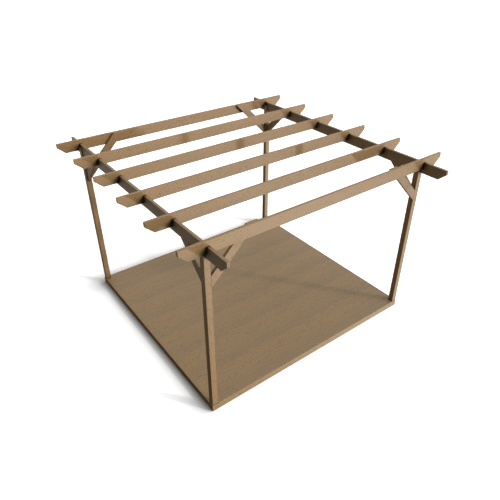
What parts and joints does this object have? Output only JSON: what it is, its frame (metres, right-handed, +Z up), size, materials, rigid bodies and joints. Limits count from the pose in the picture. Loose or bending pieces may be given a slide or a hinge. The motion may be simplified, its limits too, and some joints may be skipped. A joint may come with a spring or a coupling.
{
  "type": "wooden pergola with deck",
  "caption": "Free-standing timber pergola on a low boarded deck: corner posts, side beams, cross rafters with shaped ends and diagonal braces.",
  "frame": {"origin": "middle of the deck's underside, on the level ground it stands on", "axes": "+X along the rafters to the right, +Y along the beams to the back, +Z up"},
  "size_m": [4.2, 4.212, 2.606],
  "materials": {
    "post_timber": "planed, tan, matt",
    "roof_timber": "planed, tan, matt",
    "brace_timber": "planed, tan, matt",
    "fascia_timber": "planed, tan, matt",
    "joist_timber": "sawn, tan",
    "deck_timber": "planed, brown, matt"
  },
  "bodies": {
    "root": {"front_left_post": "post_timber", "front_right_post": "post_timber", "back_left_post": "post_timber", "back_right_post": "post_timber", "left_beam": "roof_timber", "right_beam": "roof_timber", "rafter_1": "roof_timber", "rafter_2": "roof_timber", "rafter_3": "roof_timber", "rafter_4": "roof_timber", "rafter_5": "roof_timber", "rafter_6": "roof_timber", "front_left_rafter_brace": "brace_timber", "front_right_rafter_brace": "brace_timber", "back_left_rafter_brace": "brace_timber", "back_right_rafter_brace": "brace_timber", "front_left_beam_brace": "brace_timber", "front_right_beam_brace": "brace_timber", "back_left_beam_brace": "brace_timber", "back_right_beam_brace": "brace_timber", "front_deck_fascia": "fascia_timber", "back_deck_fascia": "fascia_timber", "left_deck_fascia": "fascia_timber", "right_deck_fascia": "fascia_timber", "deck_joist_1": "joist_timber", "deck_joist_2": "joist_timber", "deck_joist_3": "joist_timber", "deck_joist_4": "joist_timber", "deck_joist_5": "joist_timber", "deck_joist_6": "joist_timber", "deck_joist_7": "joist_timber", "deck_joist_8": "joist_timber", "deck_joist_9": "joist_timber", "deck_boards": "deck_timber"}
  },
  "joints": []
}
